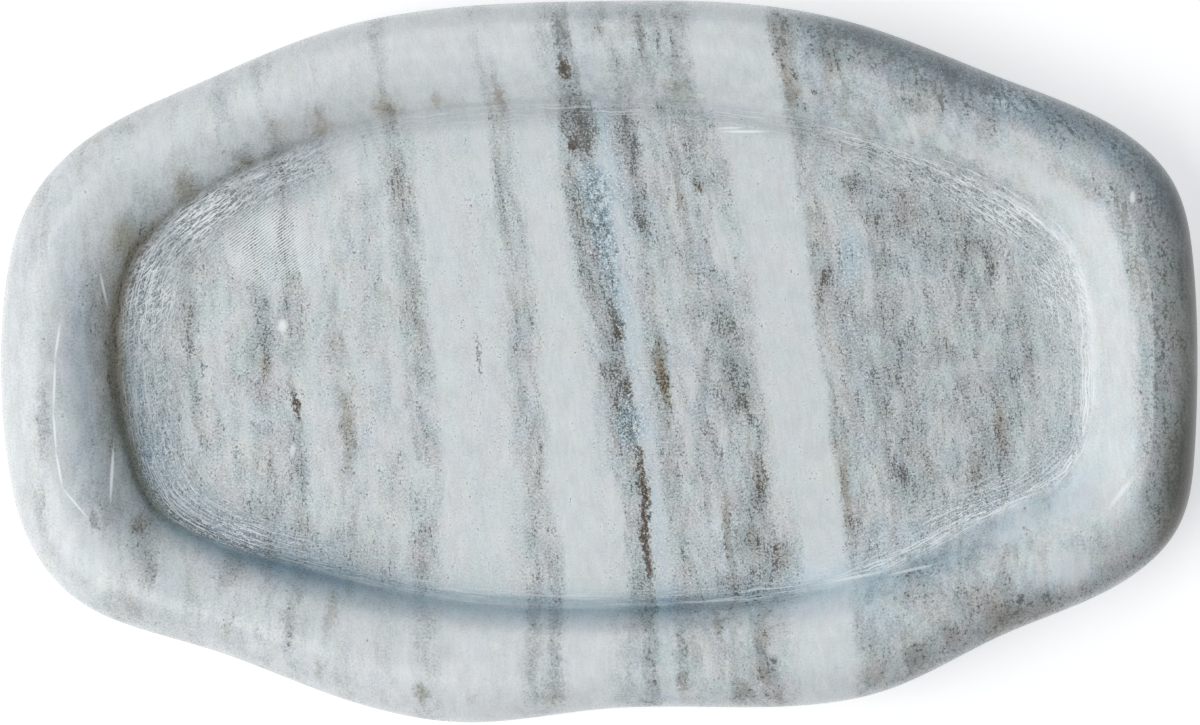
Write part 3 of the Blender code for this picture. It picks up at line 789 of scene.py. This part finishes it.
def edge_lines(nodes, flow, shaken):
    """The place along the basin's edge, the distance inside it in mm, shaken as the bands are,
    and 0 on the polished rim and 1 in the honed basin."""
    edge_place = nodes.add("ShaderNodeAttribute", attribute_name="edge_place").outputs["Vector"]
    edge_place = nodes.vector("MULTIPLY", edge_place, (1 / MM, 1 / MM, 1 / MM))
    shake = nodes.split(nodes.vector("SUBTRACT", shaken, flow))[0]
    inside = nodes.split(edge_place)[2]
    return edge_place, nodes.plus(inside, shake), nodes.curve(inside, "honed")


def by_finish(nodes, basin, polished, honed, smooth=True):
    """A value that changes from the polished rim to the honed basin."""
    return nodes.steps(basin, 0.0, 1.0, polished, honed, smooth)


def bands_at(nodes, across):
    """The grey, rust and blue of the bands at a place across them. A ramp holds only so many
    stops, so the bands take several ramps, each of which holds from its first stop on."""
    held = nodes.ramp(across, BANDS[:RAMP_STOPS])
    for first in range(RAMP_STOPS - 1, len(BANDS) - 1, RAMP_STOPS - 1):
        stretch = BANDS[first : first + RAMP_STOPS]
        past = nodes.maths("GREATER_THAN", across, stretch[0][0])
        held = nodes.mix(past, held, nodes.ramp(across, stretch))
    return held


def edge_mask(nodes, edge_place, inside, bearing, spread, middle, half_breadth):
    """1 in the middle of a mark along the basin's edge, and 0 outside it."""
    way_round = nodes.vector("NORMALIZE", nodes.vector("MULTIPLY", edge_place, (1.0, 1.0, 0.0)))
    heading = (math.cos(math.radians(bearing)), math.sin(math.radians(bearing)), 0.0)
    facing = nodes.vector("DOT_PRODUCT", way_round, heading)
    near = nodes.steps(facing, math.cos(math.radians(spread)), math.cos(math.radians(spread / 3)))
    return nodes.times(near, nodes.steps(nodes.distance(inside, middle), half_breadth, 0.0))


def mark_contents(nodes, shaken, edge_place, inside):
    """What the single marks add to the bands: soft ovals, and marks along the basin's edge.
    Each is added as soon as its mask is worked out, which keeps the finish quick to render."""
    contents = nodes.vector("MULTIPLY", shaken, (0.0, 0.0, 0.0))
    for kind, marks in MARKS.items():
        for x, y, half_across, half_along, strength in marks:
            scale = (1 / half_across, 1 / half_along, 0.0)
            start = (-vein_across(x, y) / half_across, -y / half_along, 0.0)
            reach = nodes.vector("LENGTH", nodes.vector("MULTIPLY_ADD", shaken, scale, start))
            held = tuple(strength * share for share in kind)
            mask = nodes.even(nodes.curve(reach, "mark"))
            contents = nodes.vector("MULTIPLY_ADD", mask, held, contents)
    for kind, *place in EDGE_MARKS:
        mask = nodes.even(edge_mask(nodes, edge_place, inside, *place))
        contents = nodes.vector("MULTIPLY_ADD", mask, kind, contents)
    return contents


def band_contents(nodes, flow, shaken, edge_place, inside, basin):
    """How much grey, rust and blue the marble holds at a place: what its marks hold, and the
    bands, which come and go along their length and are fainter on the rim."""
    marks = mark_contents(nodes, shaken, edge_place, inside)
    across = nodes.split(flow)[0]
    bands = nodes.mix(SHAKEN_SHARE, bands_at(nodes, across), bands_at(nodes, nodes.split(shaken)[0]))
    streaks = nodes.curve(nodes.noise(flow, "streaks"), "streaks")
    patches = nodes.curve(nodes.noise(flow, "patches"), "patches")
    on_rim = nodes.curve(across, "bands_on_rim")
    vigour = nodes.times(nodes.plus(streaks, patches), by_finish(nodes, basin, on_rim, 1.0))
    return nodes.vector("MULTIPLY_ADD", bands, nodes.even(vigour), marks)


def drift(nodes, tone, place, flow, grey, basin):
    """The tone, which drifts slowly between cooler and warmer and between olive and lilac, the
    more so where it is grey, and less on the rim's left."""
    warm, lilac, _ = nodes.split(nodes.noise(flow, "casts", colour=True))
    on_rim = nodes.curve(nodes.split(place)[0], "casts_on_rim")
    share = nodes.curve(grey, "cool_or_warm")
    share = nodes.maths("MULTIPLY", share, by_finish(nodes, basin, on_rim, 1.0), clamp=True)
    tone = nodes.tint(share, tone, nodes.mix(nodes.curve(warm, "casts"), COOL_CAST, WARM_CAST))
    share = nodes.curve(grey, "olive_or_lilac")
    return nodes.tint(share, tone, nodes.mix(nodes.curve(lilac, "casts"), OLIVE_CAST, LILAC_CAST))


def marble_ground(nodes, place, flow, contents, basin, clouds, fibres, dust):
    """The stone between its grains: a pale sugary body that greys where the bands are strong,
    tinted by rust and blue, with crystals in its bluest pools, and mottled where it is grey."""
    grey, rust, blue = contents
    tone = nodes.mix(nodes.curve(grey, "grey"), PALE, GREY)
    tone = nodes.mix(nodes.curve(grey, "dark_grey"), tone, DARK_GREY)
    tone = nodes.tint(nodes.curve(blue, "blue"), tone, BLUE_TINT)
    tone = nodes.tint(nodes.curve(rust, "rust"), tone, RUST_TINT)
    tone = drift(nodes, tone, place, flow, grey, basin)
    crystals = nodes.curve(nodes.noise(place, "crystals"), "crystals")
    crystals = nodes.mix(crystals, DEEP_BLUE, CRYSTAL)
    tone = nodes.mix(nodes.curve(blue, "pools"), tone, crystals)
    mottle = nodes.times(nodes.curve(grey, "mottle"), by_finish(nodes, basin, *MOTTLE_SHARE))
    mottle = nodes.times(nodes.maths("SUBTRACT", dust, 0.5), mottle)
    shade = nodes.curve(clouds, "clouds", smooth=False)
    shade = nodes.plus(mottle, nodes.swing(fibres, FIBRE_MOTTLE), shade)
    return nodes.tint(1.0, tone, nodes.even(shade))


def dark_grains(nodes, place, contents, basin, clouds, fibres):
    """Where the dark grains lie, how dark they are, and their colour. They crowd where the bands
    are strong, along the fibres and in the clouds, and are coarser and softer on the rim."""
    grey, rust, _ = contents
    grit = by_finish(nodes, basin, nodes.noise(place, "blotches"), nodes.noise(place, "grit"), False)
    start = nodes.curve(grey, "grain_start", smooth=False)
    crowding = (nodes.swing(noise, GRAIN_CROWDING) for noise in (fibres, clouds))
    start = nodes.plus(start, *crowding)
    start = nodes.plus(start, by_finish(nodes, basin, nodes.curve(grey, "cleaner_rim"), 0.0))
    end = nodes.plus(start, by_finish(nodes, basin, *GRAIN_SOFTNESS))
    fainter = by_finish(nodes, basin, nodes.curve(grey, "fainter_rim"), 1.0)
    strength = nodes.times(nodes.curve(grey, "grain_strength"), fainter)
    colour = nodes.mix(nodes.curve(rust, "brown_grains"), DARK_GRAIN, BROWN_GRAIN)
    return nodes.times(nodes.steps(grit, start, end), strength), colour


def marble_tone(nodes, place, flow, contents, basin):
    """The marble's colour: the ground, its dark grains, and glints of crystal that crowd where
    it is grey or blue and are fewer on the rim. Also gives the dust that roughens it."""
    contents = list(nodes.split(contents))
    dust = nodes.noise(place, "dust")
    clouds = nodes.noise(flow, "clouds")
    fibres = nodes.noise(flow, "fibres")
    tone = marble_ground(nodes, place, flow, contents, basin, clouds, fibres, dust)
    grains, grain_colour = dark_grains(nodes, place, contents, basin, clouds, fibres)
    tone = nodes.mix(grains, tone, grain_colour)
    grey, _, blue = contents
    rich = nodes.plus(nodes.curve(grey, "glints_in_grey"), blue)
    rich = nodes.times(rich, by_finish(nodes, basin, *GLINT_SHARE))
    start = nodes.curve(rich, "glint_start")
    end = nodes.plus(start, GLINT_SOFTNESS)
    glints = nodes.steps(nodes.noise(place, "sparkle"), start, end, 0.0, GLINT_STRENGTH)
    return nodes.mix(glints, tone, GLINT), dust


def scratches(nodes, place, edge_place):
    """The grinder's white scratches, from 0 to 1: long ones along the basin's edge, and short ones
    with a sugar of white crystals and, behind, with ones that cross them, where the place is
    mirrored about the tray's middle."""
    x, y, _ = nodes.split(place)
    wander = nodes.noise(place, "wander", colour=True)
    wander = nodes.vector("MULTIPLY_ADD", wander, (0.0, 0.0, SCRATCH_WANDER), edge_place)
    long_marks = nodes.curve(nodes.noise(wander, "long_scratches"), "long_scratches")
    short_marks = nodes.curve(nodes.noise(wander, "short_scratches"), "short_scratches")
    mirrored = nodes.join(nodes.maths("ABSOLUTE", x), y, 0.0)
    along = nodes.vector("DOT_PRODUCT", mirrored, SCRATCH_HEADING)
    across = nodes.vector("DOT_PRODUCT", mirrored, SCRATCH_NORMAL)
    crossing = nodes.noise(nodes.join(along, across, 0.0), "crossing_scratches")
    crossing = nodes.curve(crossing, "crossing_scratches")
    crossing = nodes.times(crossing, nodes.curve(y, "crossing_behind"))
    sugar = nodes.curve(nodes.noise(place, "sugar"), "sugar")
    return long_marks, nodes.most(short_marks, crossing, sugar)


def stroke_mask(nodes, place, x, y, heading, half_length, half_breadth):
    """1 along a single straight stroke, and 0 off it."""
    turn = math.radians(heading)
    offset = nodes.vector("SUBTRACT", nodes.vector("MULTIPLY", place, (1.0, 1.0, 0.0)), (x, y, 0.0))
    along = (math.cos(turn) / half_length, math.sin(turn) / half_length, 0.0)
    across = (-math.sin(turn) / half_breadth, math.cos(turn) / half_breadth, 0.0)
    reach = (nodes.vector("DOT_PRODUCT", offset, axis) for axis in (along, across))
    return nodes.curve(nodes.vector("LENGTH", nodes.join(*reach, 0.0)), "stroke")


def single_lines(nodes, place, edge_place, inside):
    """How white the single strokes and the wavering, broken arcs along the edge are."""
    strokes, arcs = 0.0, 0.0
    for *stroke, strength in STROKES:
        strokes = nodes.most(strokes, nodes.times(stroke_mask(nodes, place, *stroke), strength))
    wavering = nodes.plus(inside, nodes.swing(nodes.noise(place, "arc_waver"), ARC_WAVER))
    for *arc, strength in ARCS:
        mask = edge_mask(nodes, edge_place, wavering, *arc)
        arcs = nodes.most(arcs, nodes.times(mask, strength))
    broken = nodes.curve(nodes.noise(place, "arc_breaks"), "arc_breaks")
    return nodes.most(strokes, nodes.times(arcs, broken))


def ruled_patch(nodes, place, wear):
    """How white the patch of ruled lines is: a wavering sine across them, fading at its edge."""
    across = nodes.vector("DOT_PRODUCT", place, RULE_HEADING)
    waver = nodes.times(nodes.noise(place, "rule_waver"), RULE_WAVER)
    phase = nodes.maths("MULTIPLY_ADD", across, 2 * math.pi / RULE_PITCH, waver)
    rules = nodes.curve(nodes.maths("SINE", phase), "rules")
    reach = nodes.vector("MULTIPLY", nodes.vector("SUBTRACT", place, RULE_MIDDLE), RULE_SPREAD)
    patch = nodes.curve(nodes.vector("LENGTH", reach), "ruled_patch")
    return nodes.times(rules, patch, nodes.curve(wear, "ruled_wear"))


def tool_marks(nodes, place, edge_place):
    """How white the grinder's marks are, and how far wear darkens the ground between them, which at
    the basin's left end is also painted shade. The marks lie in a belt along the basin's edge,
    thickest in its corners, in a thin line along its crease, in a patch of ruled lines, and in
    single strokes and arcs."""
    x, y, _ = nodes.split(place)
    inside = nodes.split(edge_place)[2]
    belt = nodes.times(nodes.curve(inside, "belt_outside"), nodes.curve(inside, "belt_inside"))
    ends = nodes.curve(nodes.maths("ABSOLUTE", x), "belt_ends")
    corners = nodes.curve(nodes.distance(y, BELT_MIDDLE), "belt_corners")
    wear = nodes.noise(place, "wear")
    wear_and_shade = nodes.times(ends, nodes.curve(wear, "belt_wear"), corners, belt)
    long_marks, short_marks = scratches(nodes, place, edge_place)
    crease = nodes.curve(nodes.distance(inside, CREASE_MIDDLE), "crease")
    crease = nodes.times(crease, nodes.curve(x, "crease_right"), long_marks)
    frost = nodes.most(nodes.times(wear_and_shade, nodes.most(long_marks, short_marks)), crease)
    rules = ruled_patch(nodes, place, wear)
    frost = nodes.most(frost, rules, single_lines(nodes, place, edge_place, inside))
    # The darkening by wear, stronger at the left end, where it is also painted shade
    return frost, nodes.times(wear_and_shade, nodes.curve(x, "left_wear_and_shade"))


def painted_edge_shades(nodes, edge_place):
    """What the shade painted along the basin's edge leaves of the stone's tone."""
    inside = nodes.split(edge_place)[2]
    shade = WHITE
    for tint, *place, strength in PAINTED_EDGE_SHADES:
        mask = edge_mask(nodes, edge_place, inside, *place)
        shade = nodes.tint(nodes.times(mask, strength), shade, tint)
    return shade


def marble_material():
    """Banded marble, honed to a sugary matt in the basin and softly polished on the rim, with shade
    painted along the basin's edge and at its left end.
    """
    nodes = Nodes("banded marble")
    place, flow, shaken = vein_place(nodes)
    edge_place, inside, basin = edge_lines(nodes, flow, shaken)
    contents = band_contents(nodes, flow, shaken, edge_place, inside, basin)
    tone, dust = marble_tone(nodes, place, flow, contents, basin)
    # Shade painted along the basin's edge, on its walls, creases and outer sides
    tone = nodes.tint(1.0, tone, painted_edge_shades(nodes, edge_place))
    frost, wear_and_shade = tool_marks(nodes, place, edge_place)
    tone = nodes.tint(1.0, tone, nodes.even(by_finish(nodes, basin, *POLISH_GAIN, False)))
    # Wear darkens the ground in the belt, and at the basin's left end this is also painted shade
    tone = nodes.mix(frost, nodes.tint(wear_and_shade, tone, WEAR_AND_SHADE_TINT), FROST)
    roughness = by_finish(nodes, basin, *ROUGHNESS, False)
    roughness = nodes.maths("MULTIPLY_ADD", dust, DUST_ROUGHNESS, roughness)
    relief = nodes.maths("MULTIPLY_ADD", frost, FROST_RELIEF, dust)
    relief = nodes.times(relief, by_finish(nodes, basin, *RELIEF, False))
    return nodes.finish(tone, roughness, relief, 1.0)


def felt_material():
    """Pressed felt: a dull ground with a mat of paler fibres."""
    nodes = Nodes("pressed felt")
    place = nodes.place()
    mat = nodes.most(nodes.noise(place, "felt_fibres"), nodes.noise(place, "felt_crossing"))
    tone = nodes.mix(nodes.curve(mat, "mat"), FELT, FELT_FIBRE)
    nodes.shader.inputs["Sheen Weight"].default_value = FELT_SHEEN
    relief = nodes.times(mat, FELT_RELIEF)
    return nodes.finish(tone, nodes.curve(mat, "mat_roughness"), relief, FELT_BUMP)


def felt_pad(node, material):
    """One round felt pad in the place of its solid: a profile with rounded edges turned about
    the pad's axis, whose side wavers a little as cut felt does."""
    low, high = (np.array(corner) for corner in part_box(node))
    middle = (low + high) / 2
    radius = (high[0] - low[0]) / 2 - PAD_WAVER
    half = (high[2] - low[2]) / 2
    turn = np.linspace(0.0, math.pi / 2, PAD_ROUND_POINTS)
    round_in = radius - PAD_ROUND * (1 - np.sin(turn))
    round_up = half - PAD_ROUND * (1 - np.cos(turn))
    flat = np.linspace(*PAD_FLAT_SHARES, PAD_FLAT_RINGS) * round_in[0]
    top = np.full(PAD_FLAT_RINGS, half)
    reach = np.concatenate([flat, round_in, round_in[::-1], flat[::-1]])
    level = np.concatenate([top, round_up, -round_up[::-1], -top])
    angles = np.arange(PAD_SIDES) * 2 * math.pi / PAD_SIDES
    waver = PAD_WAVER * np.sin(7 * angles + middle[0] * 90) * np.sin(11 * angles + middle[1] * 70)
    spread = reach[:, None] + waver * (reach / radius)[:, None] ** 4
    rings = np.stack([
        middle[0] + spread * np.cos(angles),
        middle[1] + spread * np.sin(angles),
        middle[2] + np.broadcast_to(level[:, None], spread.shape),
    ], axis=-1)
    poles = [[middle[0], middle[1], high[2]], [middle[0], middle[1], low[2]]]
    return ringed_piece(node.replace("felt_pad", "soft_pad"), rings, poles, material)


# The camera stands straight above the tray. The photograph's frame is 1200 pixels wide.
PHOTO_WIDTH = 1200
OUTLINE_PIXELS = 1196
OUTLINE_MIDDLE_PIXEL = (599.0, 361.5)
PHOTO_MIDDLE_PIXEL = (600.0, 362.5)
CAMERA_HEIGHT = 1.5

# The studio: a large soft lamp to the left, a weak one behind, a dim blue room and a white table
KEY_POWER = 14.6
KEY_SIZE = 1.3
KEY_PLACE = (-0.80, -0.33, 0.96)
KEY_COLOUR = (1.0, 0.985, 0.96)
BACK_POWER = 3.6
BACK_SIZE = 1.0
BACK_PLACE = (0.10, 1.10, 0.80)
ROOM_LIGHT = 0.25
ROOM_COLOUR = (0.87, 0.97, 1.09)
TABLE_GLOW = 0.50
TABLE_COLOUR = (0.78, 0.78, 0.78, 1.0)
TABLE_HALF = 3.0


def place_camera():
    """A long lens straight above, framed so that the widest ring fills the photograph's frame."""
    pixel = LENGTH / OUTLINE_PIXELS
    lens = bpy.data.cameras.new("camera")
    lens.sensor_width = 36.0
    widest = STONE_BOTTOM + UNDER_ROLL
    lens.lens = lens.sensor_width * (CAMERA_HEIGHT - widest) / (PHOTO_WIDTH * pixel)
    camera = bpy.data.objects.new("camera", lens)
    camera.location = (
        (PHOTO_MIDDLE_PIXEL[0] - OUTLINE_MIDDLE_PIXEL[0]) * pixel,
        (OUTLINE_MIDDLE_PIXEL[1] - PHOTO_MIDDLE_PIXEL[1]) * pixel,
        CAMERA_HEIGHT,
    )
    bpy.context.scene.collection.objects.link(camera)
    bpy.context.scene.camera = camera


def add_lamp(name, place, power, size, colour):
    """A square soft lamp that faces the tray."""
    light = bpy.data.lights.new(name, "AREA")
    light.energy = power
    light.size = size
    light.color = colour
    lamp = bpy.data.objects.new(name, light)
    lamp.location = place
    towards = -lamp.location
    lamp.rotation_euler = towards.to_track_quat("-Z", "Y").to_euler()
    bpy.context.scene.collection.objects.link(lamp)


def light_room():
    """A dim blue room that the camera and mirror rays see as plain white."""
    world = bpy.data.worlds.new("room")
    bpy.context.scene.world = world
    world.use_nodes = True
    tree = world.node_tree
    room = tree.nodes["Background"]
    room.inputs["Color"].default_value = (*ROOM_COLOUR, 1.0)
    room.inputs["Strength"].default_value = ROOM_LIGHT
    white = tree.nodes.new("ShaderNodeBackground")
    white.inputs["Color"].default_value = WHITE
    seen = seen_rays(tree)
    mix = tree.nodes.new("ShaderNodeMixShader")
    tree.links.new(seen, mix.inputs[0])
    tree.links.new(room.outputs[0], mix.inputs[1])
    tree.links.new(white.outputs[0], mix.inputs[2])
    tree.links.new(mix.outputs[0], tree.nodes["World Output"].inputs["Surface"])


def seen_rays(tree):
    """1 on camera, glossy and transmission rays, and 0 on the rest."""
    path = tree.nodes.new("ShaderNodeLightPath")
    total = path.outputs["Is Camera Ray"]
    for name in ("Is Glossy Ray", "Is Transmission Ray"):
        either = tree.nodes.new("ShaderNodeMath")
        either.operation = "MAXIMUM"
        tree.links.new(total, either.inputs[0])
        tree.links.new(path.outputs[name], either.inputs[1])
        total = either.outputs[0]
    return total


def lay_table():
    """A white table that keeps the tray's shadow: seen rays get a little of its own light."""
    corners = np.array([(-1, -1, 0), (1, -1, 0), (1, 1, 0), (-1, 1, 0)]) * TABLE_HALF
    nodes = Nodes("white table")
    nodes.shader.inputs["Base Color"].default_value = TABLE_COLOUR
    nodes.shader.inputs["Roughness"].default_value = 0.9
    nodes.shader.inputs["Specular IOR Level"].default_value = 0.0
    nodes.shader.inputs["Emission Color"].default_value = WHITE
    glow = nodes.times(seen_rays(nodes.tree), TABLE_GLOW)
    nodes.feed(nodes.shader.inputs["Emission Strength"], glow)
    table = new_piece("table", corners, [(0, 1, 2, 3)], nodes.material)


def main():
    stone = carve_stone(marble_material())
    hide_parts("stone")
    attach(stone, "root")
    felt = felt_material()
    for node in sorted(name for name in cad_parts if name.startswith("felt_pad")):
        pad = felt_pad(node, felt)
        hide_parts(node)
        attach(pad, "root")
    place_camera()
    add_lamp("key", KEY_PLACE, KEY_POWER, KEY_SIZE, KEY_COLOUR)
    add_lamp("back", BACK_PLACE, BACK_POWER, BACK_SIZE, KEY_COLOUR)
    light_room()
    lay_table()
    bpy.context.scene.view_settings.view_transform = "Standard"


main()
